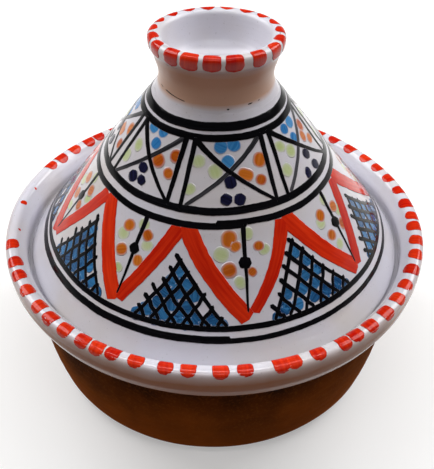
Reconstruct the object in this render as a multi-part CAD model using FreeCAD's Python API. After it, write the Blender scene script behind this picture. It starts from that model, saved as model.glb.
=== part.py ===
"""Glazed earthenware tagine: a deep dish with a rolled rim, and a conical lid with a cup for a knob.

Units are millimetres, +Z is up, and the origin is the middle of the foot, on the table.
Every piece is thrown on a wheel, so each solid is an outline of (radius, height) points turned about Z.
"""
import FreeCAD
import Part
import math
import os

# Dish: rolled rim
rim_radius = 125.0          # widest circle of the roll
rim_height = 93.0           # height of that circle above the table
rim_crest_rise = 5.5        # top of the roll above the widest circle
skirt_drop = 15.5           # lower edge of the roll below the widest circle
skirt_inset = 4.5           # that lower edge, inside the widest circle
skirt_swell = 1.2           # outward curve of the roll's outer side, off its chord
undercut = 7.0              # step under the roll, in to the wall of the bowl

# Dish: gallery that takes the lid
lip_width = 12.0            # widest circle to the wall of the gallery
lip_lean = 2.0              # how far that wall leans out towards the crest
lip_shoulder = 1.5          # inner end of the crest above the widest circle
gallery_depth = 11.0        # ledge below the widest circle
ledge_width = 13.0          # flat ring that the lid rests on
ledge_ease = 2.0            # bevel at the inner end of the ledge

# Dish: bowl
wall = 10.0                 # side of the bowl
belly_radius = 110.5        # outside of the bowl at half height
belly_height = 44.0
heel_radius = 104.0         # outside of the bowl where it turns in to the foot
heel_height = 12.5
heel_swell = 2.5            # outward curve of the trimmed heel, off its chord
floor_thickness = 8.0       # clay between the inside and the recess under the foot
foot_radius = 88.0          # outer edge of the turned foot
foot_width = 12.0           # flat ring that stands on the table
foot_recess = 3.0           # hollow turned out inside that ring

# Lid: cone
lid_clearance = 1.8         # gap all round between the lid's edge and the gallery wall
lid_height = 108.5          # ledge to the flat crown that carries the knob
lid_wall = 7.0              # clay of the cone at its top, square to the slope
edge_ease = 3.0             # bevel round the lid's lower edge
edge_width = 8.0            # flat ring of the lid that stands on the ledge
crown_radius = 31.4         # flat top of the cone
crown_thickness = 9.0       # clay under the middle of that flat top
crown_dome = 3.0            # rise of the hollow under the crown

# Lid: knob, a small cup stuck on with slip
luting_thickness = 0.8      # layer of slip between crown and knob
luting_inset = 0.7          # the slip stops short of the knob's outside and leaves a fine seam
luting_width = 11.0         # width of the ring of slip
crown_margin = 0.4          # crown that shows round the knob's foot
waist_draw = 0.8            # knob's waist, inside its foot
waist_height = 8.0          # waist above the knob's foot
knob_height = 28.2          # foot of the knob to the top of its rim
knob_rim_radius = 36.0      # widest circle of its rolled rim
knob_roll_width = 7.0       # roll, across the radius
knob_roll_height = 8.5      # roll, from its lower edge to its top
knob_roll_step = 1.2        # step under the roll, in to the wall of the knob
knob_wall = 6.0             # side of the cup at the waist
knob_floor = 6.0            # floor of the cup above the knob's foot
cup_round = 7.0             # rounding between the floor and the side of the cup

# Places that follow from the sizes above
gallery_radius = rim_radius - lip_width
ledge_height = rim_height - gallery_depth
ledge_inner_radius = gallery_radius - ledge_width
floor_height = foot_recess + floor_thickness
floor_radius = foot_radius - foot_width
lid_edge_radius = gallery_radius - lid_clearance
crown_height = ledge_height + lid_height
knob_foot = crown_height + luting_thickness
knob_foot_radius = crown_radius - crown_margin
knob_top = knob_foot + knob_height
waist_radius = knob_foot_radius - waist_draw

UP = FreeCAD.Vector(0, 0, 1)


def at(radius, height):
    """A point of an outline, in the XZ plane."""
    return FreeCAD.Vector(radius, 0, height)


def line(start, end):
    return Part.LineSegment(start, end).toShape()


def arc(start, through, end):
    return Part.Arc(start, through, end).toShape()


def bowed(start, end, rise):
    """An arc whose middle stands off its chord, to the right of the way it runs."""
    chord = end - start
    side = FreeCAD.Vector(chord.z, 0, -chord.x).normalize()
    return arc(start, (start + end) * 0.5 + side * rise, end)


def turned(*edges):
    """The solid that a closed outline makes in one turn of the wheel."""
    outline = Part.Wire(Part.sortEdges(edges)[0])
    return Part.Face(outline).revolve(at(0, 0), UP, 360)


def base_dish():
    """Deep bowl on a turned foot, with a rolled rim, a raised lip and a ledge for the lid."""
    under_middle = at(0, foot_recess)
    recess_edge = at(floor_radius - foot_recess, foot_recess)
    foot_inner = at(floor_radius, 0)
    foot_outer = at(foot_radius, 0)
    heel = at(heel_radius, heel_height)
    belly = at(belly_radius, belly_height)
    skirt = at(rim_radius - skirt_inset, rim_height - skirt_drop)
    neck = at(skirt.x - undercut, skirt.z - undercut / 2)
    widest = at(rim_radius, rim_height)
    lip = at(gallery_radius + lip_lean, rim_height + lip_shoulder)
    crest = at((widest.x + lip.x) / 2, rim_height + rim_crest_rise)
    gallery_foot = at(gallery_radius, ledge_height)
    ledge_edge = at(ledge_inner_radius + ledge_ease, ledge_height)
    ledge_drop = at(ledge_inner_radius, ledge_height - ledge_ease)
    inner_belly = at(belly.x - wall, belly.z)
    inner_heel = at(heel.x - wall, heel.z + wall / 2)
    floor_edge = at(floor_radius, floor_height)
    floor_middle = at(0, floor_height)
    return turned(
        line(under_middle, recess_edge),
        line(recess_edge, foot_inner),
        line(foot_inner, foot_outer),
        bowed(foot_outer, heel, heel_swell),
        arc(heel, belly, neck),
        line(neck, skirt),
        bowed(skirt, widest, skirt_swell),
        arc(widest, crest, lip),
        line(lip, gallery_foot),
        line(gallery_foot, ledge_edge),
        line(ledge_edge, ledge_drop),
        arc(ledge_drop, inner_belly, inner_heel),
        line(inner_heel, floor_edge),
        line(floor_edge, floor_middle),
        line(floor_middle, under_middle),
    )


def lid_cone():
    """Hollow cone with an eased edge that stands on the ledge and a flat, closed crown."""
    lean = math.atan2(lid_height - edge_ease, lid_edge_radius - crown_radius)
    edge_side = at(lid_edge_radius, ledge_height + edge_ease)
    edge_under = at(lid_edge_radius - edge_ease, ledge_height)
    edge_inner = at(edge_under.x - edge_width, ledge_height)
    crown_edge = at(crown_radius, crown_height)
    crown_middle = at(0, crown_height)
    hollow_drop = crown_thickness + crown_dome
    hollow_radius = crown_radius + hollow_drop / math.tan(lean) - lid_wall / math.sin(lean)
    hollow_edge = at(hollow_radius, crown_height - hollow_drop)
    hollow_top = at(0, crown_height - crown_thickness)
    return turned(
        line(crown_middle, crown_edge),
        line(crown_edge, edge_side),
        line(edge_side, edge_under),
        line(edge_under, edge_inner),
        line(edge_inner, hollow_edge),
        line(hollow_edge, hollow_top),
        line(hollow_top, crown_middle),
    )


def knob_luting():
    """Ring of slip that sticks the knob to the crown."""
    outer = knob_foot_radius - luting_inset
    inner = outer - luting_width
    return turned(
        line(at(inner, crown_height), at(outer, crown_height)),
        line(at(outer, crown_height), at(outer, knob_foot)),
        line(at(outer, knob_foot), at(inner, knob_foot)),
        line(at(inner, knob_foot), at(inner, crown_height)),
    )


def lid_knob():
    """Thrown cup with a slight waist and a thick rolled rim: the handle of the lid."""
    foot_middle = at(0, knob_foot)
    foot_edge = at(knob_foot_radius, knob_foot)
    waist = at(waist_radius, knob_foot + waist_height)
    roll_low = at(knob_rim_radius - knob_roll_step, knob_top - knob_roll_height)
    under_roll = at(roll_low.x - knob_roll_step, roll_low.z - knob_roll_step)
    roll_out = at(knob_rim_radius, knob_top - knob_roll_height / 2)
    roll_in = at(knob_rim_radius - knob_roll_width, roll_out.z)
    roll_top = at((roll_out.x + roll_in.x) / 2, knob_top)
    cup_side = at(waist_radius - knob_wall, knob_foot + knob_floor + cup_round)
    floor_edge = at(cup_side.x - cup_round, knob_foot + knob_floor)
    floor_middle = at(0, floor_edge.z)
    return turned(
        line(foot_middle, foot_edge),
        line(foot_edge, waist),
        line(waist, under_roll),
        line(under_roll, roll_low),
        line(roll_low, roll_out),
        arc(roll_out, roll_top, roll_in),
        line(roll_in, cup_side),
        bowed(cup_side, floor_edge, -cup_round * (1 - math.sqrt(0.5))),
        line(floor_edge, floor_middle),
        line(floor_middle, foot_middle),
    )


os.makedirs("parts", exist_ok=True)
for make in (base_dish, lid_cone, knob_luting, lid_knob):
    piece = make()
    piece.exportStep(f"parts/{make.__name__}.step")
    reach = piece.optimalBoundingBox(False)
    print(f"{make.__name__}: {piece.ShapeType}, valid {piece.isValid()}, {piece.Volume / 1000:.1f} cm3, "
          f"{reach.ZMin:.1f} to {reach.ZMax:.1f} high, {reach.XLength:.1f} across")
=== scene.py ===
# %% [markdown]
# A painted tagine: a deep clay dish, and a lid shaped like a cone with a small cup for a handle.
# The solids of the pot are already packed as a frame, at their real size in metres.
# This lesson dresses that frame: it throws the clay again with the marks of the hand,
# glazes it, paints it with a brush and lights it.

# %% Load the frame
import math
import random

import bpy
from mathutils import Matrix, Vector


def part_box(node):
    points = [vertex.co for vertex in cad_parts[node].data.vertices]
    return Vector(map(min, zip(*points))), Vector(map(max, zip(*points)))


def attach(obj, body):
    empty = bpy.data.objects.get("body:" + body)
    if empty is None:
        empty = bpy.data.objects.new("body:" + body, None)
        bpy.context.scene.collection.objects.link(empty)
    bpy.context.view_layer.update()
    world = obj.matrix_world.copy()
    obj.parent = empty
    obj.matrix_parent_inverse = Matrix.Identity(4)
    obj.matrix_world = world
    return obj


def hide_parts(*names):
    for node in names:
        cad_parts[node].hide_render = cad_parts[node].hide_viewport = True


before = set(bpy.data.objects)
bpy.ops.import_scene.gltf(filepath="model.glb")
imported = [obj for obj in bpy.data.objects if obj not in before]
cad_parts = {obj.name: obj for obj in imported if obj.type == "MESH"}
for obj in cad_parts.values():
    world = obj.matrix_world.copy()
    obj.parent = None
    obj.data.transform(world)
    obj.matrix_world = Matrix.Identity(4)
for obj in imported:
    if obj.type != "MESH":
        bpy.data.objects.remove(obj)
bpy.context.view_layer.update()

mm = 0.001
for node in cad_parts:
    low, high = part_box(node)
    print(f"{node}: radius {high.x / mm:.1f} mm, from {low.z / mm:.1f} to {high.z / mm:.1f} mm high")

# %% [markdown]
# Every material and every Geometry Nodes tree below is a small graph.
# One function adds a node, sets its own properties and fills its sockets,
# so a graph reads as a list of steps.
# Colours are written as sRGB hex values, like a painter's swatches,
# and turned to the linear values that light uses.

# %% A node, a colour, a tree
def add(tree, kind, sockets=None, **settings):
    """Add one node and return its outputs.

    sockets maps an input's name or number to a value or to another node's output.
    """
    node = tree.nodes.new(kind)
    for name, value in settings.items():
        setattr(node, name, value)
    for key, value in (sockets or {}).items():
        if isinstance(value, bpy.types.NodeSocket):
            tree.links.new(value, node.inputs[key])
        else:
            node.inputs[key].default_value = value
    return node.outputs


def colour(swatch):
    """Linear RGBA of an sRGB hex value."""
    shares = [int(swatch[i:i + 2], 16) / 255 for i in (0, 2, 4)]
    return [s / 12.92 if s <= 0.04045 else ((s + 0.055) / 1.055) ** 2.4 for s in shares] + [1.0]


def new_tree(name, inputs):
    """An empty Geometry Nodes tree with these named inputs, and the outputs of its input node."""
    tree = bpy.data.node_groups.new(name, "GeometryNodeTree")
    tree.interface.new_socket("Geometry", in_out="OUTPUT", socket_type="NodeSocketGeometry")
    for label, kind in inputs.items():
        tree.interface.new_socket(label, in_out="INPUT", socket_type="NodeSocket" + kind)
    return tree, add(tree, "NodeGroupInput")


def grow(name, tree, values):
    """Run a tree with these values and keep the result as a plain mesh, with its place in the mesh."""
    piece = bpy.data.objects.new(name, bpy.data.meshes.new(name))
    bpy.context.collection.objects.link(piece)
    modifier = piece.modifiers.new(tree.name, "NODES")
    modifier.node_group = tree
    for item in tree.interface.items_tree:
        if item.in_out == "INPUT":
            modifier[item.identifier] = values[item.name]
    evaluated = piece.evaluated_get(bpy.context.evaluated_depsgraph_get())
    mesh = bpy.data.meshes.new_from_object(evaluated)
    for slot in reversed(range(len(mesh.materials))):
        if mesh.materials[slot] is None:
            mesh.materials.pop(index=slot)
    piece.modifiers.clear()
    piece.data = mesh
    mesh.calc_loop_triangles()
    print(f"{name}: {len(mesh.loop_triangles)} triangles")
    return piece


print("the grey 808080 is", round(colour("808080")[0], 3), "in linear light")

# %% [markdown]
# The lid and the rim wear a white tin glaze: a glassy coat, opaque and a little lilac, that pooled unevenly.
# The bowl is bare earthenware, fired brown, dry and rough, and the glaze thins out under the rim, where its
# tan is partly painted shade.
# Flat colours would do for a toy. Slow stains and fine specks make the coat look poured and not printed.

# %% White tin glaze
GLAZE_WHITE = "CFCDD6"
GLAZE_WARM = "CBC5C4"
GLAZE_SPECK = "6E665F"
GLAZE_IOR = 1.55
GLAZE_ROUGHNESS = 0.11
GLAZE_GLOSS = 0.5
SPECK_STRENGTH = 0.30
stain_size = 45 * mm
speck_size = 1.1 * mm    # real specks are about half as wide, drawn coarser so that they show


def new_material(name):
    """An empty material and the node tree that it is drawn in."""
    material = bpy.data.materials.new(name)
    material.use_nodes = True
    material.node_tree.nodes.clear()
    return material, material.node_tree


def finish_surface(tree, sockets):
    """End a material in one Principled surface with these values."""
    shader = add(tree, "ShaderNodeBsdfPrincipled", sockets)[0]
    add(tree, "ShaderNodeOutputMaterial", {"Surface": shader})


def remap(tree, value, low, high, least=0.0, most=1.0):
    """A value made to run evenly from least to most, while it runs from low to high."""
    return add(tree, "ShaderNodeMapRange", {0: value, 1: low, 2: high, 3: least, 4: most})[0]


def mix(tree, share, first, second):
    """A colour between two: the first where share is 0, and the second where it is 1."""
    return add(tree, "ShaderNodeMix", {0: share, 6: first, 7: second}, data_type="RGBA")[2]


def blotches(tree, place, size, detail, low, high, least=0.0, most=1.0):
    """Noise with spots of this size: least where it lies under low, and most where it lies over high."""
    noise = add(tree, "ShaderNodeTexNoise", {"Vector": place, "Scale": 1 / size, "Detail": detail})[0]
    return remap(tree, noise, low, high, least, most)


def glaze_colour(tree):
    """The mottled white of the glaze: slow warm stains and a few fine grey specks."""
    place = add(tree, "ShaderNodeTexCoord")["Object"]
    stains = blotches(tree, place, stain_size, detail=4.0, low=0.42, high=0.72)
    white = mix(tree, stains, colour(GLAZE_WHITE), colour(GLAZE_WARM))
    specks = blotches(tree, place, speck_size, detail=1.0, low=0.70, high=0.80, most=SPECK_STRENGTH)
    return mix(tree, specks, white, colour(GLAZE_SPECK))


# Tin glaze is an opaque white glass: it mirrors lamps sharply, and stains and specks show that it was poured
tin_glaze, graph = new_material("white_tin_glaze")
finish_surface(graph, {"Base Color": glaze_colour(graph), "Roughness": GLAZE_ROUGHNESS, "IOR": GLAZE_IOR})
print("made", tin_glaze.name)

# %% [markdown]
# Each thrown piece is one outline turned about the wheel's axis,
# so its shape follows a rule and a Geometry Nodes tree can throw it.
# An outline is a list of corners in millimetres, each with the length over which it is eased into a curve.
# A lathe modifier would give a machine's perfect turn. The tree adds what the hand leaves behind:
# a shallow spiral groove from the rising finger, and a slow wander of the wall.

# %% Outlines of the dish, the cone and the knob
curve_steps = 16         # straight steps in each eased corner


def drawn_outline(name, corners):
    """A curve in the XZ plane through corners of (radius, height, ease) in mm, each eased by a bend."""
    knots = []
    for i, (radius, height, ease) in enumerate(corners):
        tip = Vector((radius, 0, height)) * mm
        if ease == 0:
            knots.append((tip, tip, tip))
            continue
        for other in (i - 1, i + 1):
            away = (Vector((corners[other][0], 0, corners[other][1])) * mm - tip).normalized()
            knot = tip + away * ease * mm
            bend = knot.lerp(tip, 2 / 3)
            knots.append((knot, knot, bend) if other < i else (bend, knot, knot))
    curve = bpy.data.curves.new(name, "CURVE")
    curve.dimensions = "3D"
    curve.resolution_u = curve_steps
    spline = curve.splines.new("BEZIER")
    spline.bezier_points.add(len(knots) - 1)
    for point, (before, middle, after) in zip(spline.bezier_points, knots):
        point.handle_left_type = point.handle_right_type = "FREE"
        point.handle_left, point.co, point.handle_right = before, middle, after
    outline = bpy.data.objects.new(name, curve)
    bpy.context.collection.objects.link(outline)
    return outline


rim_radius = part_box("base_dish")[1].x / mm
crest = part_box("base_dish")[1].z / mm
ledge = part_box("lid_cone")[0].z / mm
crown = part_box("lid_cone")[1].z / mm
lid_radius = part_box("lid_cone")[1].x / mm
knob_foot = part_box("lid_knob")[0].z / mm
knob_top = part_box("lid_knob")[1].z / mm
knob_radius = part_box("lid_knob")[1].x / mm
crown_radius = 31.4      # flat top of the cone, which the frame's boxes do not give
edge_rise = 3.0          # edge of the lid above the ledge
skirt_height = 77.4      # lower edge of the dish's roll
foot_inner = 76          # flat ring that the dish stands on
foot_outer = 88
foot_recess = 3          # hollow turned out inside that ring
floor_height = 11        # inside of the dish

dish_outline = [
    # Recess and foot
    (0, foot_recess, 0), (foot_inner - foot_recess, foot_recess, 1.5), (foot_inner, 0, 1.2),
    (foot_outer, 0, 1.5),
    # Heel, belly and neck
    (102.5, 5.5, 9), (109.8, 36, 18), (111.4, 73.2, 1.6),
    # Rolled rim
    (rim_radius - 4.6, skirt_height, 1.8), (rim_radius - 0.6, 86, 4), (rim_radius + 0.2, crest, 4.6),
    (rim_radius - 7, crest, 2.5), (rim_radius - 12.4, 91, 2.5),
    # Gallery and ledge
    (rim_radius - 12.3, ledge, 1.5), (rim_radius - 25, ledge, 2.5),
    # Inside of the bowl
    (100.9, 46, 18), (93.5, 16, 8), (foot_inner, floor_height, 8), (0, floor_height, 0)]
cone_outline = [
    # Hollow
    (0, crown - 9, 0), (31.7, crown - 12, 5), (100.2, ledge, 1.5),
    # Edge that stands on the ledge
    (lid_radius - 2.4, ledge, 2), (lid_radius, ledge + edge_rise - 0.6, 2),
    # Crown
    (crown_radius, crown, 1), (0, crown, 0)]
knob_outline = [
    # Foot, waist and neck
    (0, knob_foot, 0), (31, knob_foot, 0.7), (30.1, knob_foot + 8, 5), (33.7, knob_foot + 20, 1.2),
    # Rolled rim
    (35.1, knob_top - 7, 1.2), (knob_radius + 0.1, knob_top, 4.2), (knob_radius - 7.2, knob_top, 3.8),
    # Cup
    (25.2, knob_foot + 13.6, 2.6), (21.6, knob_foot + 9, 2.4), (17, knob_foot + 6.4, 2.4),
    (11, knob_foot + 4.8, 3), (0, knob_foot + 4.2, 0)]
print(f"corners: dish {len(dish_outline)}, cone {len(cone_outline)}, knob {len(knob_outline)}")

# %% The wheel: a flat sheet of columns and rows, wrapped round the axis
def calculate(tree, operation, *values, clamp=False):
    """Result of a Math node: the name of its operation, then its values in order."""
    return add(tree, "ShaderNodeMath", dict(enumerate(values)), operation=operation, use_clamp=clamp)[0]


def calculate_vector(tree, operation, *values):
    """The same for vectors."""
    return add(tree, "ShaderNodeVectorMath", dict(enumerate(values)), operation=operation)[0]


def vector(tree, x=0.0, y=0.0, z=0.0):
    """A vector from its three parts."""
    return add(tree, "ShaderNodeCombineXYZ", {0: x, 1: y, 2: z})[0]


def parts(tree, whole):
    """The three parts of a vector, named X, Y and Z."""
    return add(tree, "ShaderNodeSeparateXYZ", {0: whole})


def spoke_at(tree, turn):
    """The way outward at a turn from the front, and the cosine of that turn."""
    sine = calculate(tree, "SINE", turn)
    cosine = calculate(tree, "COSINE", turn)
    south = calculate(tree, "MULTIPLY", cosine, -1.0)
    return vector(tree, sine, south), cosine


wheel, given = new_tree("Throw on the wheel", {
    "Outline": "Object", "Columns": "Int", "Rows": "Int", "Groove": "Float", "Groove spacing": "Float",
    "Wander": "Float", "Wander size": "Float", "Foot": "Float", "Top": "Float", "Lean": "Float",
    "Seed": "Int", "Material": "Material", "Bare share": "Float", "Bare material": "Material"})
grid = add(wheel, "GeometryNodeMeshGrid", {0: 1.0, 1: 1.0, 2: given["Columns"], 3: given["Rows"]})
sheet = add(wheel, "GeometryNodeStoreNamedAttribute", {0: grid[0], 2: "UVMap", 3: grid[1]},
            data_type="FLOAT2", domain="CORNER")[0]
place = add(wheel, "GeometryNodeInputPosition")[0]
share = calculate_vector(wheel, "ADD", place, (0.5, 0.5, 0.0))
share = parts(wheel, share)
curve = add(wheel, "GeometryNodeObjectInfo", {0: given["Outline"]})["Geometry"]
knot = add(wheel, "GeometryNodeSampleCurve", {0: curve, 2: share["Y"]}, mode="FACTOR", use_all_curves=True)
spot = parts(wheel, knot["Position"])
heading = parts(wheel, knot["Tangent"])
turn = calculate(wheel, "MULTIPLY", share["X"], math.tau)
spoke, cosine = spoke_at(wheel, turn)
upper = remap(wheel, spot["Z"], given["Foot"], given["Top"])
tilt = calculate(wheel, "MULTIPLY", upper, given["Lean"])
tilt = calculate(wheel, "MULTIPLY", tilt, spot["X"])
tilted = calculate(wheel, "MULTIPLY_ADD", cosine, tilt, spot["Z"])
upright = vector(wheel, z=tilted)
still = calculate_vector(wheel, "MULTIPLY_ADD", spoke, spot["X"], upright)
print(f"{wheel.name}: {len(wheel.nodes)} nodes for a perfect turn")

# %% The hand: a groove that climbs one step with every turn, and a slow wander of the wall
still_foot = 1 * mm      # up to this height the wall stays true, so that the dish stands flat
free_wall = 9 * mm       # from this height it wanders freely
free_radius = 15 * mm    # nearer the axis the wander fades, so that the pole stays closed
weld = 0.002 * mm        # joins the first column of the sheet to the last


def store(tree, geometry, label, value):
    """A geometry that keeps a number on each of its points, under a label."""
    return add(tree, "GeometryNodeStoreNamedAttribute", {0: geometry, 2: label, 3: value},
               data_type="FLOAT")[0]


def stored(tree, label):
    """The number that is kept under a label."""
    return add(tree, "GeometryNodeInputNamedAttribute", {0: label}, data_type="FLOAT")[0]


rise = calculate(wheel, "DIVIDE", spot["Z"], given["Groove spacing"])
phase = calculate(wheel, "MULTIPLY_ADD", rise, math.tau, turn)
wave = calculate(wheel, "SINE", phase)
groove = calculate(wheel, "MULTIPLY", wave, given["Groove"])
lump_scale = calculate(wheel, "DIVIDE", 1.0, given["Wander size"])
lump = add(wheel, "ShaderNodeTexNoise", {
    "Vector": still, "W": given["Seed"], "Scale": lump_scale, "Detail": 1.0}, noise_dimensions="4D")[0]
lump = calculate(wheel, "SUBTRACT", lump, 0.5)
push = calculate(wheel, "MULTIPLY_ADD", lump, given["Wander"], groove)
off_table = remap(wheel, spot["Z"], still_foot, free_wall)
off_axis = remap(wheel, spot["X"], 0.0, free_radius)
push = calculate(wheel, "MULTIPLY", push, off_table)
push = calculate(wheel, "MULTIPLY", push, off_axis)
outward = calculate(wheel, "MULTIPLY", push, heading["Z"])
upward = calculate(wheel, "MULTIPLY", push, heading["X"])
upward = calculate(wheel, "MULTIPLY", upward, -1.0)
upward = vector(wheel, z=upward)
moved = calculate_vector(wheel, "MULTIPLY_ADD", spoke, outward, upward)
sheet = store(wheel, sheet, "share", share["Y"])
clay = add(wheel, "GeometryNodeSetPosition", {0: sheet, 2: still, 3: moved})[0]
clay = add(wheel, "GeometryNodeMergeByDistance", {0: clay, 2: weld})[0]
clay = add(wheel, "GeometryNodeSetShadeSmooth", {0: clay})[0]
clay = add(wheel, "GeometryNodeRealizeInstances", {0: clay})[0]
clay = add(wheel, "GeometryNodeSetMaterial", {0: clay, 2: given["Material"]})[0]
so_far = stored(wheel, "share")
bare = add(wheel, "FunctionNodeCompare", {0: so_far, 1: given["Bare share"]},
           data_type="FLOAT", operation="LESS_THAN")[0]
clay = add(wheel, "GeometryNodeSetMaterial", {0: clay, 1: bare, 2: given["Bare material"]})[0]
add(wheel, "NodeGroupOutput", {0: clay})


def throw(name, corners, material, columns, row_height, groove, spacing, wander, wander_size, seed,
          lean=0.0, bare_share=0.0, bare_material=None):
    """Throw one piece of clay and take the drawn outline away again.

    Sizes are in mm. lean is how steeply the top rises to the front,
    and bare_share is how far along the outline the bare clay goes.
    """
    heights = [height for radius, height, ease in corners]
    outline = drawn_outline(name + "_outline", corners)
    length = outline.data.splines[0].calc_length()
    piece = grow(name, wheel, {
        "Outline": outline, "Columns": columns + 1, "Rows": round(length / mm / row_height) + 1,
        "Groove": groove * mm, "Groove spacing": spacing * mm, "Wander": wander * mm,
        "Wander size": wander_size * mm, "Foot": min(heights) * mm, "Top": max(heights) * mm, "Lean": lean,
        "Seed": seed, "Material": material, "Bare share": bare_share,
        "Bare material": bare_material or material})
    bpy.data.objects.remove(outline)
    return piece


print(f"{wheel.name}: {len(wheel.nodes)} nodes with the marks of the hand")

# %% [markdown]
# The dish is red earthenware, turned on the wheel and left bare below the rim:
# dry, rough and smoked unevenly by the kiln, with painted shade that darkens it towards the rim.
# The glaze was poured over the rim and the inside. It runs thin in a wavy line where the roll turns under,
# and its dark tan there is partly painted shade.
# The wall of the knob was only wiped with thin glaze, so the clay shows through and it looks tan;
# that tan is partly painted shade on the wall, too.
# One outline runs all round a thrown piece,
# so the piece's own V coordinate says where a coat begins and ends.

# %% Bare clay and thin glaze
CLAY = "9E561A"
# Dark brown of the kiln's smoke clouds, also used as painted shade towards the rim
CLAY_SMOKE_AND_SHADE = "1E0C03"
CLAY_GRIT = "A0642A"
CLAY_IOR = 1.45
CLAY_ROUGHNESS = 0.85
CLAY_GLOSS = 0.06
GRIT_STRENGTH = 0.22
SMOKE_SWING = 0.2        # how much lighter or darker the clouds of smoke make the clay
# Tans of clay through thin glaze, partly painted shade on the knob's wall and under the rim's roll
GLAZE_THIN_AND_SHADE = "BC8B64"
GLAZE_THINNER_AND_SHADE = "A26C42"
THIN_GLOSS = 0.06        # thin glaze soaks into the clay and turns dull
WIPED_AND_SHADED_SHARE = 0.78       # share of the tan on the knob's wall: clay through wiped glaze, and painted shade
WIPED_ROUGHNESS = 0.28
rim_shade_start = 12 * mm    # painted shade darkens the bowl from this height up to the roll
smoke_size = 38 * mm
grit_size = 1.6 * mm     # real grit is finer, drawn coarser so that it shows
wobble_size = 17 * mm


def clay_colour(tree):
    """Earthenware: pale grit, smoke from the kiln in slow clouds, and painted shade that darkens it towards
    the rim.
    """
    place = add(tree, "ShaderNodeTexCoord")["Object"]
    height = parts(tree, place)["Z"]
    # Painted shade: the clay darkens steadily up to the rim's roll, where the overhanging rim shades it
    shade_under_rim = remap(tree, height, rim_shade_start, skirt_height * mm, least=0.05)
    smoke = blotches(tree, place, smoke_size, detail=4.0, low=0.35, high=0.65,
                     least=-SMOKE_SWING, most=SMOKE_SWING)
    smoke = calculate(tree, "ADD", shade_under_rim, smoke, clamp=True)
    body = mix(tree, smoke, colour(CLAY), colour(CLAY_SMOKE_AND_SHADE))
    grit = blotches(tree, place, grit_size, detail=2.0, low=0.52, high=0.72, most=GRIT_STRENGTH)
    return mix(tree, grit, body, colour(CLAY_GRIT))


def share_at(corners, count):
    """How far along its outline a piece's corner lies, as a share of the whole length."""
    steps = [math.dist(a[:2], b[:2]) for a, b in zip(corners, corners[1:])]
    whole = int(count)
    return (sum(steps[:whole]) + (count - whole) * steps[whole]) / sum(steps)


def coat(tree, low, low_soft, high, high_soft, wobble):
    """1 where the V coordinate lies between low and high, with soft, wavy ends."""
    where = parts(tree, add(tree, "ShaderNodeUVMap", uv_map="UVMap")[0])["Y"]
    place = add(tree, "ShaderNodeTexCoord")["Object"]
    wave = add(tree, "ShaderNodeTexNoise", {"Vector": place, "Scale": 1 / wobble_size, "Detail": 3.0})[0]
    wave = calculate(tree, "SUBTRACT", wave, 0.5)
    where = calculate(tree, "MULTIPLY_ADD", wave, wobble, where)
    begins = remap(tree, where, low, low + low_soft)
    ends = remap(tree, where, high - high_soft, high, least=1.0, most=0.0)
    return calculate(tree, "MULTIPLY", begins, ends)


# Bare earthenware is dry and porous: it hardly shines, and smoke, grit and painted shade towards the rim
# break up its brown
bare_clay, graph = new_material("bare_earthenware")
finish_surface(graph, {"Base Color": clay_colour(graph), "Roughness": CLAY_ROUGHNESS, "IOR": CLAY_IOR,
                       "Specular IOR Level": CLAY_GLOSS})


def thinned_and_shaded_glaze(name, tint, most, roughness, **ends):
    """White glaze that turns this much towards a tan between two ends, given as for coat: clay through thin
    glaze and painted shade.
    """
    material, tree = new_material(name)
    thin = calculate(tree, "MULTIPLY", coat(tree, **ends), most)
    skin = mix(tree, thin, glaze_colour(tree), colour(tint))
    dull = remap(tree, thin, 0.0, 1.0, GLAZE_GLOSS, THIN_GLOSS)
    finish_surface(tree, {"Base Color": skin, "Roughness": roughness, "IOR": GLAZE_IOR,
                          "Specular IOR Level": dull})
    print("made", name)
    return material


bead_inner = 29.4        # the bead's back lies inside the knob's wall
bead_outline = [
    (bead_inner, crown - 1.5, 0), (33.7, crown - 3.3, 0.4), (31.4, crown + 1.2, 2.2),
    (30.4, knob_foot + 4.6, 0.5), (bead_inner, knob_foot + 4.6, 0.2), (bead_inner, crown - 1.5, 0)]
# Poured glaze draws away from an edge: the white fades to a dull tan under the roll, darkened there as
# painted shade
rim_glaze_and_shade = thinned_and_shaded_glaze("tin_glaze_thin_and_shaded_at_the_edge", GLAZE_THINNER_AND_SHADE, 1.0, GLAZE_ROUGHNESS,
                          low=share_at(dish_outline, 6), low_soft=0.005,
                          high=share_at(dish_outline, 9.5), high_soft=0.026, wobble=0.01)
# Wiped glaze leaves a tan, half dull skin on the wall of the knob, partly painted shade, and stays white on
# its rim
knob_glaze_and_shade = thinned_and_shaded_glaze("thin_tin_glaze_over_clay_and_shade", GLAZE_THIN_AND_SHADE, WIPED_AND_SHADED_SHARE, WIPED_ROUGHNESS,
                           low=share_at(knob_outline, 1), low_soft=0.02,
                           high=share_at(knob_outline, 4.2), high_soft=0.06, wobble=0.02)
# Glaze that ran down over the seam is white at its foot and fades into the tan of the knob above, which is
# partly painted shade
run_glaze = thinned_and_shaded_glaze("tin_glaze_run_down_the_knob", GLAZE_THIN_AND_SHADE, WIPED_AND_SHADED_SHARE, WIPED_ROUGHNESS,
                          low=share_at(bead_outline, 1.9), low_soft=0.15,
                          high=1.2, high_soft=0.1, wobble=0.12)

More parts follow.
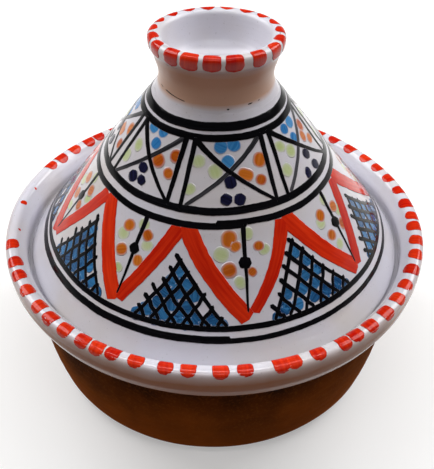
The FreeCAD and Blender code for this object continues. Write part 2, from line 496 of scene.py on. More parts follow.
# %% Throw the three pieces and the bead of glaze that closes the seam under the knob
knob_lean = 0.058        # the knob was stuck on a little askew
bead_lean = -0.04        # the run of glaze stands higher at the back
dish = throw("dish", dish_outline, rim_glaze_and_shade, columns=256, row_height=1.3, groove=0.08, spacing=6,
             wander=0.9, wander_size=60, seed=1,
             bare_share=share_at(dish_outline, 6.5), bare_material=bare_clay)
cone = throw("cone", cone_outline, tin_glaze, columns=256, row_height=1.3, groove=0.03, spacing=7,
             wander=0.9, wander_size=55, seed=2)
knob = throw("knob", knob_outline, knob_glaze_and_shade, columns=176, row_height=0.7, groove=0.02, spacing=2.6,
             wander=0.6, wander_size=25, seed=3, lean=knob_lean)
bead = throw("bead", bead_outline, run_glaze, columns=176, row_height=0.35, groove=0.0, spacing=4,
             wander=0.8, wander_size=9, seed=4, lean=bead_lean)

# %% [markdown]
# The painting lies on the glaze as a thin film, thickest along the middle of each brush stroke.
# A picture wrapped on the lid would blur when it is baked, so each stroke is a real, very thin mesh.
# A cone can be unrolled to a flat fan without stretching.
# Strokes are drawn on that fan as curves with a half-width. A tree swells each curve to a film,
# rolls the fan up again and lays the film on the clay wherever the hand left it.

# %% Brush film: from a drawn curve to a flat, closed film
shake_size = 22 * mm
film, given = new_tree("Brush film", {
    "Strokes": "Object", "Step": "Float", "Sides": "Int", "Blunt": "Float", "Tremble": "Float",
    "Ragged": "Float", "Seed": "Int"})
path = add(film, "GeometryNodeObjectInfo", {0: given["Strokes"]})["Geometry"]
path = add(film, "GeometryNodeResampleCurve", {0: path, 3: given["Step"]}, mode="LENGTH")[0]
place = add(film, "GeometryNodeInputPosition")[0]
shake = add(film, "ShaderNodeTexNoise", {
    "Vector": place, "W": given["Seed"], "Scale": 1 / shake_size, "Detail": 1.0},
    noise_dimensions="4D")["Color"]
shake = calculate_vector(film, "SUBTRACT", shake, (0.5, 0.5, 0.5))
shake = calculate_vector(film, "MULTIPLY", shake, (1.0, 1.0, 0.0))
shake = add(film, "ShaderNodeVectorMath", {0: shake, "Scale": given["Tremble"]}, operation="SCALE")[0]
path = add(film, "GeometryNodeSetPosition", {0: path, 3: shake})[0]
path = add(film, "GeometryNodeSetCurveNormal", {0: path}, mode="Z_UP")[0]
print(f"{film.name}: {len(film.nodes)} nodes for the path of a stroke")

# %% Half-width: round at both ends, and a little ragged
ragged_size = 3 * mm
half = add(film, "GeometryNodeInputRadius")[0]
along = add(film, "GeometryNodeSplineParameter")["Length"]
total = add(film, "GeometryNodeSplineLength")["Length"]
ahead = calculate(film, "SUBTRACT", total, along)
nearest = calculate(film, "MINIMUM", along, ahead)
reach = calculate(film, "MULTIPLY", half, given["Blunt"])
short = calculate(film, "DIVIDE", nearest, reach, clamp=True)
short = calculate(film, "SUBTRACT", 1.0, short)
short = calculate(film, "MULTIPLY", short, short)
cap = calculate(film, "SUBTRACT", 1.0, short)
cap = calculate(film, "SQRT", cap)
rough = add(film, "ShaderNodeTexNoise", {
    "Vector": place, "W": given["Seed"], "Scale": 1 / ragged_size, "Detail": 1.0},
    noise_dimensions="4D")[0]
rough = remap(film, rough, 0.25, 0.75, least=-1.0)
rough = calculate(film, "MULTIPLY_ADD", rough, given["Ragged"], 1.0)
width = calculate(film, "MULTIPLY", half, cap)
width = calculate(film, "MULTIPLY", width, rough)
tone = add(film, "FunctionNodeRandomValue", {2: 0.0, 3: 1.0, 8: given["Seed"]}, data_type="FLOAT")[1]
tone = add(film, "GeometryNodeFieldOnDomain", {0: tone}, domain="CURVE", data_type="FLOAT")[0]
for label, field in {"width": width, "along": along, "cap": cap, "tone": tone}.items():
    path = store(film, path, label, field)
ring = add(film, "GeometryNodeCurvePrimitiveCircle", {0: given["Sides"], 4: 1.0})[0]
side = parts(film, place)
for label, field in {"across": side["X"], "height": side["Y"]}.items():
    ring = store(film, ring, label, field)
width = stored(film, "width")
swept = add(film, "GeometryNodeCurveToMesh", {0: path, 1: ring, 2: width, 3: True})[0]
swept = add(film, "GeometryNodeFlipFaces", {0: swept})[0]
add(film, "NodeGroupOutput", {0: swept})
film_inputs = {item.name: item.socket_type.replace("NodeSocket", "") for item in film.interface.items_tree
               if item.in_out == "INPUT"}
print(f"{film.name}: {len(film.nodes)} nodes with its width")

# %% Lay the film on the clay
ray_reach = 40 * mm      # how far a point of the film looks for the clay
lay, given = new_tree("Lay on the clay", {
    "Film mesh": "Geometry", "Start": "Vector", "Facing": "Vector", "Canvas": "Object",
    "Film": "Float", "Lift": "Float", "Material": "Material"})
canvas = add(lay, "GeometryNodeObjectInfo", {0: given["Canvas"]})["Geometry"]
inward = add(lay, "ShaderNodeVectorMath", {0: given["Facing"], "Scale": -1.0}, operation="SCALE")[0]
hit = add(lay, "GeometryNodeRaycast", {0: canvas, "Source Position": given["Start"],
                                       "Ray Direction": inward, "Ray Length": ray_reach})["Hit Position"]
height = stored(lay, "height")
lift = calculate(lay, "MULTIPLY_ADD", height, given["Film"], given["Lift"])
above = add(lay, "ShaderNodeVectorMath", {0: given["Facing"], "Scale": lift}, operation="SCALE")[0]
painted = add(lay, "GeometryNodeSetPosition", {0: given["Film mesh"], 2: hit, 3: above})[0]
cap = stored(lay, "cap")
depth = calculate(lay, "MULTIPLY", height, cap, clamp=True)
painted = store(lay, painted, "depth", depth)
painted = add(lay, "GeometryNodeSetShadeSmooth", {0: painted})[0]
painted = add(lay, "GeometryNodeRealizeInstances", {0: painted})[0]
painted = add(lay, "GeometryNodeSetMaterial", {0: painted, 2: given["Material"]})[0]
add(lay, "NodeGroupOutput", {0: painted})
lay_inputs = {"Canvas": "Object", "Film": "Float", "Lift": "Float", "Material": "Material"}


def end_on_clay(tree, given, flat, start, facing):
    """End a tree by laying its film on the clay, from start and against the way that the clay faces."""
    laid = add(tree, "GeometryNodeGroup", {"Film mesh": flat, "Start": start, "Facing": facing} |
               {name: given[name] for name in lay_inputs}, node_tree=lay)[0]
    add(tree, "NodeGroupOutput", {0: laid})
    print(f"{tree.name}: {len(tree.nodes)} nodes")


print(f"{lay.name}: {len(lay.nodes)} nodes")

# %% Roll the fan up: paint on the cone
cone_start = 5 * mm      # a point starts this far off the true cone, and falls back on the clay
on_cone, given = new_tree("Paint the cone", film_inputs | {"Apex": "Float", "Slope": "Float"} | lay_inputs)
flat = add(on_cone, "GeometryNodeGroup", {name: given[name] for name in film_inputs}, node_tree=film)[0]
place = parts(on_cone, add(on_cone, "GeometryNodeInputPosition")[0])
level = vector(on_cone, place["X"], place["Y"])
far = add(on_cone, "ShaderNodeVectorMath", {0: level}, operation="LENGTH")["Value"]
front = calculate(on_cone, "MULTIPLY", place["Y"], -1.0)
fan = calculate(on_cone, "ARCTAN2", place["X"], front)
slope_sine = calculate(on_cone, "SINE", given["Slope"])
slope_cosine = calculate(on_cone, "COSINE", given["Slope"])
turn = calculate(on_cone, "DIVIDE", fan, slope_sine)
spoke = spoke_at(on_cone, turn)[0]
radius = calculate(on_cone, "MULTIPLY", far, slope_sine)
drop = calculate(on_cone, "MULTIPLY", far, slope_cosine)
height = calculate(on_cone, "SUBTRACT", given["Apex"], drop)
height = vector(on_cone, z=height)
clay = calculate_vector(on_cone, "MULTIPLY_ADD", spoke, radius, height)
upward = vector(on_cone, z=slope_sine)
facing = calculate_vector(on_cone, "MULTIPLY_ADD", spoke, slope_cosine, upward)
start = calculate_vector(on_cone, "MULTIPLY_ADD", facing, (cone_start,) * 3, clay)
end_on_clay(on_cone, given, flat, start, facing)

# %% Bend a strip round a roll: paint on a rolled rim
roll_start = 12 * mm     # a point starts this far from the heart of the roll
on_roll, given = new_tree("Paint a roll", film_inputs | lay_inputs | {
    "Ring": "Float", "Middle": "Float", "Roll": "Float", "Lean": "Float"})
flat = add(on_roll, "GeometryNodeGroup", {name: given[name] for name in film_inputs}, node_tree=film)[0]
place = parts(on_roll, add(on_roll, "GeometryNodeInputPosition")[0])
turn = calculate(on_roll, "DIVIDE", place["X"], given["Ring"])
bend = calculate(on_roll, "DIVIDE", place["Y"], given["Roll"])
spoke, cosine = spoke_at(on_roll, turn)
outward = calculate(on_roll, "COSINE", bend)
upward = calculate(on_roll, "SINE", bend)
upward = vector(on_roll, z=upward)
facing = calculate_vector(on_roll, "MULTIPLY_ADD", spoke, outward, upward)
tilt = calculate(on_roll, "MULTIPLY", given["Lean"], given["Ring"])
middle = calculate(on_roll, "MULTIPLY_ADD", cosine, tilt, given["Middle"])
middle = vector(on_roll, z=middle)
heart = calculate_vector(on_roll, "MULTIPLY_ADD", spoke, given["Ring"], middle)
start = calculate_vector(on_roll, "MULTIPLY_ADD", facing, (roll_start,) * 3, heart)
end_on_clay(on_roll, given, flat, start, facing)

# %% [markdown]
# The painter's colours are metal oxides in a glassy flux, brushed on the raw glaze and fired into it.
# A loaded brush leaves more in the middle of a stroke than at its edge, and streaks along its way.
# Each stroke carries its own depth, its place across and along, and a tone of its own,
# so the material can follow the brush.

# %% Brushed colours
hair_length = 25 * mm
hairs_across = 3.0       # a real brush has far more hairs, drawn coarser so that the streaks show
tone_step = 40.0         # moves every stroke to streaks of its own


def brushed(name, thin, thick, streak, spread, edge, gloss=GLAZE_GLOSS):
    """A brushed colour, from thin to thick.

    streak is how much the hairs show, spread how much strokes differ,
    edge how far in the colour fades and gloss how much it mirrors.
    """
    material, graph = new_material(name)
    depth, across, along, tone = [
        add(graph, "ShaderNodeAttribute", attribute_name=label)["Fac"]
        for label in ("depth", "across", "along", "tone")]
    lanes = vector(graph, across, along, tone)
    lanes = calculate_vector(graph, "MULTIPLY", lanes, (hairs_across, 1 / hair_length, tone_step))
    hairs = blotches(graph, lanes, size=1.0, detail=3.0, low=0.38, high=0.68, most=streak)
    share = calculate(graph, "MULTIPLY_ADD", tone, spread, hairs, clamp=True)
    body = mix(graph, share, colour(thick), colour(thin))
    covered = remap(graph, depth, 0.0, edge)
    skin = mix(graph, covered, glaze_colour(graph), body)
    finish_surface(graph, {"Base Color": skin, "Roughness": GLAZE_ROUGHNESS, "IOR": GLAZE_IOR,
                           "Specular IOR Level": gloss})
    return material


brushed_colours = {
    # Manganese fires to a dense black that hides the glaze and hardly shines
    "black": brushed("manganese_black", "121116", "040405", streak=0.6, spread=0.2, edge=0.15, gloss=0.15),
    # The same oxide from a nearly dry brush is grey, and its hairs show
    "grey": brushed("thin_manganese_black", "4A494E", "18181C", streak=0.8, spread=0.4, edge=0.3, gloss=0.3),
    # Iron red is thick and opaque, and turns to orange where the brush ran thin
    "red": brushed("iron_red", "DC3812", "B00C04", streak=0.5, spread=0.5, edge=0.12, gloss=0.2),
    # Watered cobalt is a clear sky blue that fades into the white
    "blue": brushed("cobalt_blue", "4C97CC", "1C62A4", streak=0.5, spread=0.5, edge=0.6, gloss=0.35),
    # Cobalt from a fuller brush is a deep blue, streaked with pale
    "cobalt": brushed("deep_cobalt_blue", "3A80B6", "082C5A", streak=0.55, spread=0.6, edge=0.35, gloss=0.3),
    # Cobalt laid on thick is nearly black
    "navy": brushed("thick_cobalt", "1E1E42", "0A0A1E", streak=0.6, spread=0.3, edge=0.25, gloss=0.3),
    # Antimony orange is a wash, darkest in its heart, with a wide soft edge
    "orange": brushed("antimony_orange", "D27A26", "A84404", streak=0.5, spread=0.5, edge=0.75),
    # Copper green is the thinnest wash, hardly more than a tint
    "green": brushed("copper_green", "C6CFA6", "AEBC7E", streak=0.3, spread=0.6, edge=0.9),
}
print("colours:", ", ".join(brushed_colours))

# %% The unrolled lid, and a brush that works on it
slope = math.atan2(lid_radius - crown_radius, crown - ledge - edge_rise)
apex = crown + crown_radius / math.tan(slope)
hand = random.Random(11)
strokes = {name: [] for name in brushed_colours}
# A dab's soft edge makes it look smaller, so it is drawn wider by this much
fading = {"orange": 1.22, "green": 1.15, "blue": 1.12, "navy": 1.14}


def on_fan(angle, height):
    """Place on the unrolled cone of a point of the lid: degrees from the front, mm above the table."""
    far = (apex - height) / math.cos(slope)
    fan = math.radians(angle) * math.sin(slope)
    return Vector((far * math.sin(fan), -far * math.cos(fan)))


def draw(paint, places, width, last_width=None):
    """One stroke of the brush through places of (angle, height), with its width at both ends in mm."""
    strokes[paint].append(([on_fan(*place) for place in places], width, last_width or width))


def dab(paint, angle, height, width):
    """One touch of the brush: a stroke about as long as it is wide."""
    middle = on_fan(angle, height)
    width *= fading.get(paint, 1.0)
    way = hand.uniform(0, math.pi)
    reach = Vector((math.cos(way), math.sin(way))) * width * hand.uniform(0.46, 0.58)
    width *= hand.uniform(0.98, 1.14)
    strokes[paint].append(([middle - reach, middle + reach], width, width))


print(f"the cone unrolls to a fan of {360 * math.sin(slope):.0f} degrees")

# %% [markdown]
# Six black bands divide the lid. Each was drawn in one go on the turning wheel,
# and two of them show where the brush came round again and missed its own beginning.
# Between the bands the design is a rule: seven crossed panels above,
# and eight red petals with latticed triangles between them below.
# A loop draws them, and a seeded hand shakes a little.

# %% Bands
band_step = 4            # degrees between the places of a band
collar = 179.8           # lower band of the pair under the knob, in mm above the table
girdle = 150.5           # upper band of the pair round the middle
belt = 144.5             # lower band of that pair
hem = 102.7              # upper band of the pair above the edge


def band(height, width, start=-181, end=181, climb=0.0):
    """A stroke round the cone that may climb or sink by about a millimetre on its way."""
    count = round((end - start) / band_step)
    places = [(start + (end - start) * i / count, height + climb * i / count) for i in range(count + 1)]
    draw("black", places, width)


band(collar + 4.5, 4.8)
band(collar, 3.9)
band(girdle, 4.2)
band(belt + 1.1, 3.6, start=0.5, climb=-1.2)
band(belt - 0.1, 3.6, end=15, climb=0.2)
band(hem, 3.2)
band(hem - 4.5, 4.1, end=5.5)
band(hem - 5, 2.9, start=3)
print("strokes for the bands:", len(strokes["black"]))

# %% Crossed panels
wrist_steps = 6          # straight steps in a long stroke


def between(start, end, bow=0.0):
    """Places from start to end that keep an even turn, as a wrist does, and rise by bow in the middle."""
    places = []
    for share in [step / wrist_steps for step in range(wrist_steps + 1)]:
        angle, height = [a + (b - a) * share for a, b in zip(start, end)]
        places.append((angle, height + 4 * bow * share * (1 - share)))
    return places


pairs = [-169, -117, -66.3, -18.9, 36.5, 88, 139.5]    # pairs of upright lines, in degrees from the front
front_pair = -18.9
panel_middle = 166.6
# The dabs of the three panels that the photograph shows, by the pair of lines at their left:
# degrees aside and mm above the middle of the panel, and width in mm
seen_dabs = {
    -66.3: {
        "blue": [(-7.9, 11.5, 6), (2.2, 11.5, 6), (0, 5.9, 6)],
        "navy": [(-1.4, -5.5, 5.5), (-5.4, -10.9, 5.5), (1, -10.5, 5.5)],
        "orange": [(6.6, 0, 7), (17.8, 3.9, 6), (15.6, -3.7, 6)],
        "green": [(-13, 1, 6.5), (-18, -6, 6.5)]},
    front_pair: {
        "blue": [(-4.8, 9.9, 6.4), (4, 10.3, 6.4), (-0.7, 3.7, 6)],
        "navy": [(0, -4.6, 5.8), (-2.9, -11.4, 5.4), (4, -11.8, 5.4)],
        "green": [(-18.8, 3.7, 6.5), (-8.3, 0, 6.5), (-21.7, -7.9, 6)],
        "orange": [(19.8, 2.4, 6.5), (17.3, -5.5, 5)]},
    36.5: {
        "blue": [(-4.7, 9, 6), (4.9, 9.5, 6), (0.1, 3.4, 6)],
        "navy": [(2.3, -6, 5.5), (-4.7, -12.4, 5.5), (4.6, -12.4, 5.5)],
        "green": [(-16, 4, 6.5), (-9, 0, 6.5), (-18, -6, 6)],
        "orange": [(10, 0, 6), (15, 4, 6), (16, -4, 5.5)]},
}
for left, right in zip(pairs, pairs[1:] + [pairs[0] + 360]):
    draw("black", [(left - 2, collar), (left - 4.6, girdle + 0.1)], 3.2, 2.3)
    draw("black", [(left + 5, collar), (left + 2.3, girdle - 0.7)], 2.9, 2.2)
    draw("black", between((left + 3.4, collar - 0.2), (right - 4.6, girdle + 0.5), 1.3), 3.4, 1.8)
    draw("grey", between((right - 2.4, collar - 0.4), (left + 4, girdle + 0.9), 1.5), 2.9, 2.2)
    middle = (left + right) / 2
    shake = 0 if left in seen_dabs else 1.2
    for paint, spots in seen_dabs.get(left, seen_dabs[front_pair]).items():
        for aside, above, width in spots:
            angle = middle + aside + hand.uniform(-shake, shake)
            dab(paint, angle, panel_middle + above + hand.uniform(-shake, shake), width)
    if left == front_pair or left not in seen_dabs:
        draw("orange", [(middle + 4, panel_middle - 0.9), (middle + 13.8, panel_middle - 3.9)], 7.4, 6.8)
print("crossed panels:", len(pairs))

# %% Petals
tips = [-165, -120, -75.5, -33, 11, 56.5, 101, 146]    # lower points of the petals, in degrees from the front
front_tip = 11
tops = [-143, -97.5, -55.5, -13, 32, 74, 123, 170]     # points where two petals meet
bud = 129.2                                            # black dot on the stem of a petal, mm above the table
# The dabs of a petal: degrees from its tip, mm above the table, and width in mm
petal_dabs = {
    "orange": [(-4.6, 136.5, 6), (4.8, 135.5, 5.5), (-4.4, 126, 6), (4, 125.5, 5.5)],
    "green": [(-7, 133, 6.5), (6.3, 132, 6), (-2.6, 119.8, 5.5), (1.5, 140, 6)]}
front_dabs = {
    "orange": [(-4.9, 139.1, 7.2), (-2.3, 136, 5), (-5.2, 126.5, 7), (7.3, 135.1, 5.2), (3.2, 125, 4.6)],
    "green": [(2.7, 140.6, 6), (-8.1, 133.1, 7), (9.2, 133.1, 5.5), (-1.6, 121.3, 6)]}
for tip, left_top, right_top in zip(tips, [tops[-1] - 360] + tops, tops):
    draw("red", between((left_top + 0.2, belt + 0.1), (tip + 0.2, hem + 3.1)), 9.8, 9.2)
    if tip == front_tip:
        draw("red", between((tip + 1.9, hem + 5.7), (right_top - 0.6, belt - 1.1), -2.0), 5.6, 8.2)
    else:
        draw("red", between((tip + 0.8, hem + 4.1), (right_top - 2, belt - 1.5), 0.8), 7.2, 8.4)
    draw("black", [(tip + 2, belt), (tip + 0.3, hem + 5.8)], 2.8, 1.1)
    dab("black", tip + 1, bud, 6.2)
    shake = 0 if tip == front_tip else 0.8
    for paint, spots in (front_dabs if tip == front_tip else petal_dabs).items():
        for aside, height, width in spots:
            angle = tip + aside + hand.uniform(-shake, shake)
            dab(paint, angle, height + hand.uniform(-shake, shake), width)
print("petals:", len(tips))

# %% Latticed triangles between the petals
rows = 6                                 # lines of the lattice, each way
foot_line = hem + 0.6                    # foot of the triangles, in mm above the table
usual_peak = 131.5                       # and their peak
peaks = {-13: 130.4, 32: 134.2}          # the two triangles that show best have heights of their own
left_gap, right_gap = 7.2, 5.5           # degrees from the tips of the petals to the foot of a triangle
first_line = 0.15                        # where the first line starts, in rows from the peak
cell_middle = 0.6                        # middle of a cell, in rows from its upper corner
stray = 0.35                             # in degrees round the lid, and in mm up
touches = (0, 1, 1, 1, 1, 1, 2, 2, 2)    # dabs in one cell of the lattice, chosen at random
low_lift = 2.2                           # the cells along the foot are cut in half, so their dabs sit higher


def shaky(start, end):
    """Places from start to end that stray by about half a millimetre."""
    return [(angle + hand.uniform(-stray, stray), height + hand.uniform(-stray, stray))
            for angle, height in between(start, end)]


def inside(triangle, to_left, to_right):
    """A point of a triangle of (peak, left, right), by its shares of the left and right corners."""
    to_peak = 1 - to_left - to_right
    return [to_peak * p + to_left * a + to_right * b for p, a, b in zip(*triangle)]


for top, left_tip, right_tip in zip(tops, tips, tips[1:] + [tips[0] + 360]):
    peak = (top + 0.3, peaks.get(top, usual_peak))
    triangle = (peak, (left_tip + left_gap, foot_line), (right_tip - right_gap, foot_line))
    for row in range(rows):
        share = (row + first_line) / rows
        stub = hand.uniform(0.02, 0.05)
        falling = shaky(inside(triangle, share, -2 * stub), inside(triangle, share, 1 - share))
        draw("black", falling, hand.uniform(2.2, 2.8), 2.0)
        leaning = shaky(inside(triangle, -stub, share), inside(triangle, 1 - share, share))
        draw("black", leaning, hand.uniform(2.1, 2.7), 1.9)
        for other in range(rows - row):
            angle, height = inside(triangle, (row + cell_middle) / rows, (other + cell_middle) / rows)
            height += low_lift if row + other == rows - 1 else 0
            for touch in range(hand.choice(touches)):
                aside = hand.uniform(-0.9, 0.9)
                above = hand.uniform(-0.5, 0.5)
                dab("cobalt", angle + aside, height + above, hand.uniform(6.6, 7.8))
for name, lines in strokes.items():
    print(f"{name}: {len(lines)} strokes")

# %% Lay the colours on the lid, thin washes first and black last
def brush_lines(name, lines):
    """A curve object with one spline for a stroke, and the brush's half-width as its radius."""
    curve = bpy.data.curves.new(name, "CURVE")
    curve.dimensions = "3D"
    for places, width, last_width in lines:
        spline = curve.splines.new("POLY")
        spline.points.add(len(places) - 1)
        for i, (point, place) in enumerate(zip(spline.points, places)):
            share = i / (len(places) - 1)
            point.co = (place[0] * mm, place[1] * mm, 0, 1)
            point.radius = (width + (last_width - width) * share) / 2 * mm
    drawn = bpy.data.objects.new(name, curve)
    bpy.context.collection.objects.link(drawn)
    return drawn


def lay_paint(name, tree, lines, paint, canvas, step, sides, blunt, tremble, ragged, half_film, lift,
              shape):
    """Brush these strokes on a thrown piece. Sizes are in mm, shape gives the tree its cone or its roll."""
    drawn = brush_lines(name + "_strokes", lines)
    sizes = {"Strokes": drawn, "Step": step * mm, "Sides": sides, "Blunt": blunt, "Tremble": tremble * mm,
             "Ragged": ragged, "Seed": len(lines), "Canvas": canvas, "Film": half_film * mm,
             "Lift": lift * mm, "Material": brushed_colours[paint]}
    painted = grow(name, tree, sizes | shape)
    bpy.data.objects.remove(drawn)
    return painted


lid_shape = {"Apex": apex * mm, "Slope": slope}
# Each film: step along the stroke in mm, sides of its section, bluntness of its ends, tremble in mm,
# raggedness, half its thickness in mm, and lift off the clay in mm
films = {
    "green": (1.0, 12, 1.0, 1.0, 0.05, 0.015, 0.03),
    "orange": (1.0, 12, 1.0, 1.0, 0.05, 0.015, 0.05),
    "blue": (1.0, 12, 1.0, 0.8, 0.06, 0.015, 0.04),
    "cobalt": (1.0, 10, 1.0, 0.8, 0.08, 0.02, 0.04),
    "red": (1.2, 14, 0.35, 1.4, 0.05, 0.05, 0.08),
    "grey": (1.2, 10, 0.7, 1.4, 0.08, 0.05, 0.10),
    "navy": (1.0, 8, 0.8, 0.6, 0.08, 0.05, 0.11),
    "black": (1.1, 10, 0.7, 1.3, 0.06, 0.06, 0.12),
}
lid_paint = [lay_paint(name + "_on_lid", on_cone, strokes[name], name, cone, *sizes, lid_shape)
             for name, sizes in films.items()]

# %% [markdown]
# Both rolled rims carry a row of short red strokes, drawn from outside over the crest.
# They could be bent one by one, but a rim is a strip rolled round a ring:
# a stroke is drawn on the flat strip, where along is the way round and up is the way over the roll,
# and the tree bends the strip.

# %% Red strokes on the rims
# In degrees round the rim from the front: strokes that the photograph shows, then the rest at an even step
seen_strokes = [
    -133, -127, -121, -116, -77, -69, -63, -57, -50, -44.5, -39, -33, -28.5, -24, -18, -11, -5, 2, 8, 16,
    19.5, 26, 33, 38, 43, 49, 56, 61.5, 68, 74.5, 81, 87, 92, 98, 104, 111, 117, 123, 130, 137]
hidden_strokes = [143.2 + 6.1 * i for i in range(14)]
rim_turns = seen_strokes + hidden_strokes
knob_turns = [-78, -60, -39, -22, -3, 15, 37, 58, 76, 95, 113, 132, 151, 170, 189, 208, 227, 246, 264]


def rim_lines(turns, ring, roll, low, high, width):
    """Strokes over a roll: degrees round the ring, and from low to high degrees over the roll."""
    lines = []
    for turn in turns:
        ends = [math.radians(turn + hand.uniform(-0.6, 0.6)) * ring for end in (0, 1)]
        over = [math.radians(low + hand.uniform(-9, 6)) * roll,
                math.radians(high + hand.uniform(-8, 8)) * roll]
        first_width = width * hand.uniform(0.9, 1.08)
        last_width = width * hand.uniform(0.85, 1.0)
        lines.append((list(zip(ends, over)), first_width, last_width))
    return lines


rim_ring = 119.5         # heart of the rim's roll, from the axis
rim_middle = 91.5        # the same, above the table
rim_roll = 6.2
knob_ring = 32.5
knob_middle = knob_top - 4.3
knob_roll = 4.1
rim_shape = {"Ring": rim_ring * mm, "Middle": rim_middle * mm, "Roll": rim_roll * mm, "Lean": 0.0}
knob_shape = {"Ring": knob_ring * mm, "Middle": knob_middle * mm, "Roll": knob_roll * mm, "Lean": knob_lean}
red_sizes = (0.8, 12, 0.85, 0.8, 0.07, 0.05, 0.06)    # in the same order as for the films of the lid
# What is left of three worn strokes: degrees round the rim, from and to over the roll, and width in mm
worn_strokes = [(-103.5, 106, 122, 2.4), (-96, 82, 112, 3.6), (-84, 108, 122, 1.8)]
rim_strokes = rim_lines(rim_turns, rim_ring, rim_roll, low=37, high=126, width=8.8)
for turn, low, high, width in worn_strokes:
    rim_strokes += rim_lines([turn], rim_ring, rim_roll, low, high, width)
knob_strokes = rim_lines(knob_turns, knob_ring, knob_roll, low=-52, high=126, width=8.5)
rim_red = lay_paint("red_on_rim", on_roll, rim_strokes, "red", dish, *red_sizes, rim_shape)
knob_red = lay_paint("red_on_knob", on_roll, knob_strokes, "red", knob, *red_sizes, knob_shape)

# %% Painted shade in the open seam and pits under the knob
seam_ring = 22.0
seam_middle = crown + 1.5
seam_roll = 10.0
seam_shape = {"Ring": seam_ring * mm, "Middle": seam_middle * mm, "Roll": seam_roll * mm, "Lean": 0.0}
crack_sizes = (0.5, 8, 1.0, 0.4, 0.2, 0.06, 0.04)     # in the same order as for the films of the lid
crack_steps = 8
# Where the seam is open: from and to in degrees, height at both ends and width in mm
openings = [
    (-68, -30, 3.4, 1.6, 0.9), (10, 13, -0.6, -0.6, 1.3), (31, 37, 0, 0.2, 0.8), (43, 46, 0.2, 0.3, 0.7),
    (56, 58, 1.5, 1.5, 0.6)]
cracks = []
for first, last, low, high, width in openings:
    places = []
    for share in [step / crack_steps for step in range(crack_steps + 1)]:
        turn = math.radians(first + (last - first) * share)
        places.append((turn * seam_ring, low + (high - low) * share))
    cracks.append((places, width, width * 0.5))
# Painted shade: a black film on the closed bead stands for the dark inside the open seam and its pits
seam_shade = lay_paint("open_seam", on_roll, cracks, "black", bead, *crack_sizes, seam_shape)

# %% [markdown]
# A dressed piece has to move with the solid that it stands for, or the lid would lift without its paint.
# The thrown pieces replace the frame's solids, and the films ride on the same body.

# %% Hand the pieces to the frame
stands_for = [
    (dish, "base_dish", "dish", "terracotta"), (cone, "lid_cone", "lid", "painted_glaze"),
    (bead, "knob_luting", "lid", "slip"), (knob, "lid_knob", "lid", "painted_glaze")]
for piece, node, body, slot in stands_for:
    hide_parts(node)
    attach(piece, body)
for piece in lid_paint + [knob_red, seam_shade, rim_red]:
    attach(piece, "dish" if piece == rim_red else "lid")

# %% [markdown]
# The studio is a pale floor, a strip lamp above, a thin strip in front as a fill,
# two softboxes behind to the sides, and a dim room with a pale horizon.
# The photograph shows the sides of the lid brighter than its front,
# and warm light from below, as from a wooden table.
# The floor looks white to the camera and in the glaze, but sends warm light back to the clay.

# %% Floor
FLOOR_SEEN = "D6D5D4"
FLOOR_BOUNCE = "7C5438"
GLOW_NEAR = 0.36         # light that the floor adds to itself by the pot, so that it looks white
GLOW_FAR = 0.56          # the same, far away
near_floor = 0.5         # in metres from the middle of the pot
far_floor = 2.5

# Matt white paint has no gloss: it shows the soft shadow of the pot and no mirror image
floor_paint, graph = new_material("matt_white_floor")
ray = add(graph, "ShaderNodeLightPath")
seen = calculate(graph, "ADD", ray["Is Camera Ray"], ray["Is Glossy Ray"], clamp=True)
seen = calculate(graph, "ADD", seen, ray["Is Transmission Ray"], clamp=True)
tint = mix(graph, seen, colour(FLOOR_BOUNCE), colour(FLOOR_SEEN))
matt = add(graph, "ShaderNodeBsdfDiffuse", {"Color": tint})[0]
place = add(graph, "ShaderNodeTexCoord")["Object"]
away = add(graph, "ShaderNodeVectorMath", {0: place}, operation="LENGTH")["Value"]
away = add(graph, "ShaderNodeMapRange", {0: away, 1: near_floor, 2: far_floor, 3: GLOW_NEAR, 4: GLOW_FAR},
           interpolation_type="SMOOTHSTEP")[0]
lift_white = calculate(graph, "MULTIPLY", seen, away)
glow = add(graph, "ShaderNodeEmission", {"Strength": lift_white})[0]
both = add(graph, "ShaderNodeAddShader", {0: matt, 1: glow})[0]
add(graph, "ShaderNodeOutputMaterial", {"Surface": both})

floor_radius = 9.0
floor_sides = 96
sheet = bpy.data.meshes.new("floor")
turns = [math.tau * i / floor_sides for i in range(floor_sides)]
corners = [(floor_radius * math.cos(turn), floor_radius * math.sin(turn), 0) for turn in turns]
sheet.from_pydata(corners, [], [range(floor_sides)])
sheet.materials.append(floor_paint)
floor = bpy.data.objects.new("floor", sheet)
bpy.context.collection.objects.link(floor)
print(f"floor: {floor_radius} m from its middle to its edge")

# %% Room
ROOM_WHITE = "FFFFFF"
HORIZON_LEVEL = 0.7
ROOM_LEVEL = 0.06
CEILING_LEVEL = 0.42
horizon_low, horizon_high = 0.07, 0.18    # the horizon fades out between these, as sines of the angle up
ceiling_low, ceiling_high = 0.72, 0.9     # the ceiling comes in between these

room = bpy.data.worlds.new("pale_room")
room.use_nodes = True
graph = room.node_tree
graph.nodes.clear()
aim = add(graph, "ShaderNodeTexCoord")["Generated"]
aim = parts(graph, aim)["Z"]
level = remap(graph, aim, horizon_low, horizon_high, HORIZON_LEVEL, ROOM_LEVEL)
above = remap(graph, aim, ceiling_low, ceiling_high, 0.0, CEILING_LEVEL)
level = calculate(graph, "ADD", level, above)
sky = add(graph, "ShaderNodeBackground", {"Color": colour(ROOM_WHITE), "Strength": level})[0]
add(graph, "ShaderNodeOutputWorld", {"Surface": sky})
bpy.context.scene.world = room
print(f"{room.name}: {len(graph.nodes)} nodes")

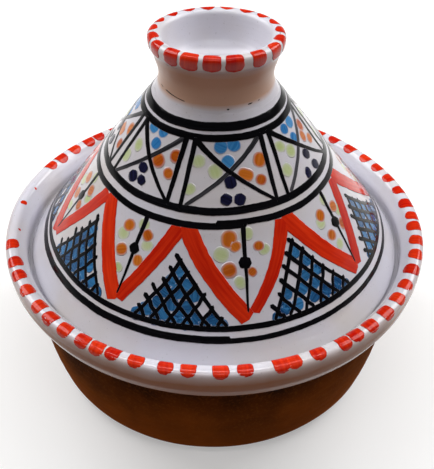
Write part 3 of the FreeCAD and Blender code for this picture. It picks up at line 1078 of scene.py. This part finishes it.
# %% Lamps
LAMP_WHITE = "FFFFFF"
pot_middle = (0, 0, 0.1)    # every lamp points here


def soft_lamp(name, place, width, height, watts):
    """A white softbox of this size in metres, turned to the pot."""
    light = bpy.data.lights.new(name, "AREA")
    light.shape = "RECTANGLE"
    light.size, light.size_y = width, height
    light.energy = watts
    light.color = colour(LAMP_WHITE)[:3]
    lamp = bpy.data.objects.new(name, light)
    lamp.location = place
    lamp.rotation_euler = (Vector(pot_middle) - Vector(place)).to_track_quat("-Z", "Y").to_euler()
    bpy.context.collection.objects.link(lamp)
    print(f"{name}: {watts} W, {width} by {height} m")


soft_lamp("top_strip", (0.0, 0.2, 1.2), width=1.0, height=0.12, watts=3.6)
soft_lamp("front_fill", (0.0, -0.55, 1.15), width=0.9, height=0.08, watts=1.8)
soft_lamp("left_softbox", (-0.85, 0.45, 1.0), width=0.8, height=0.8, watts=11.5)
soft_lamp("right_softbox", (0.85, 0.45, 1.0), width=0.8, height=0.8, watts=11.5)

# %% [markdown]
# The camera stands about half a metre away and looks down by forty degrees.
# Its place, tilt and lens were fitted to the rim, the bands and the knob of the photograph.

# %% Camera
camera_place = (0.00156, -0.375, 0.39692)    # in metres
camera_pitch = 0.69528                       # how far it looks down, in radians
camera_roll = -0.013382                      # how far it tips to one side, in radians
lens = 60.54                                 # in mm, like the width of the sensor
sensor_width = 36

ahead = Vector((0, math.cos(camera_pitch), -math.sin(camera_pitch)))
above = Vector((0, math.sin(camera_pitch), math.cos(camera_pitch)))
across = Vector((1, 0, 0))
right = across * math.cos(camera_roll) - above * math.sin(camera_roll)
top = across * math.sin(camera_roll) + above * math.cos(camera_roll)
view = bpy.data.cameras.new("camera")
view.lens = lens
view.sensor_width = sensor_width
camera = bpy.data.objects.new("camera", view)
camera.matrix_world = Matrix.Translation(camera_place) @ Matrix((right, top, -ahead)).transposed().to_4x4()
bpy.context.collection.objects.link(camera)
bpy.context.scene.camera = camera
bpy.context.scene.view_settings.view_transform = "Standard"
print(f"camera: {lens} mm lens, {Vector(camera_place).length:.3f} m from the middle of the foot")
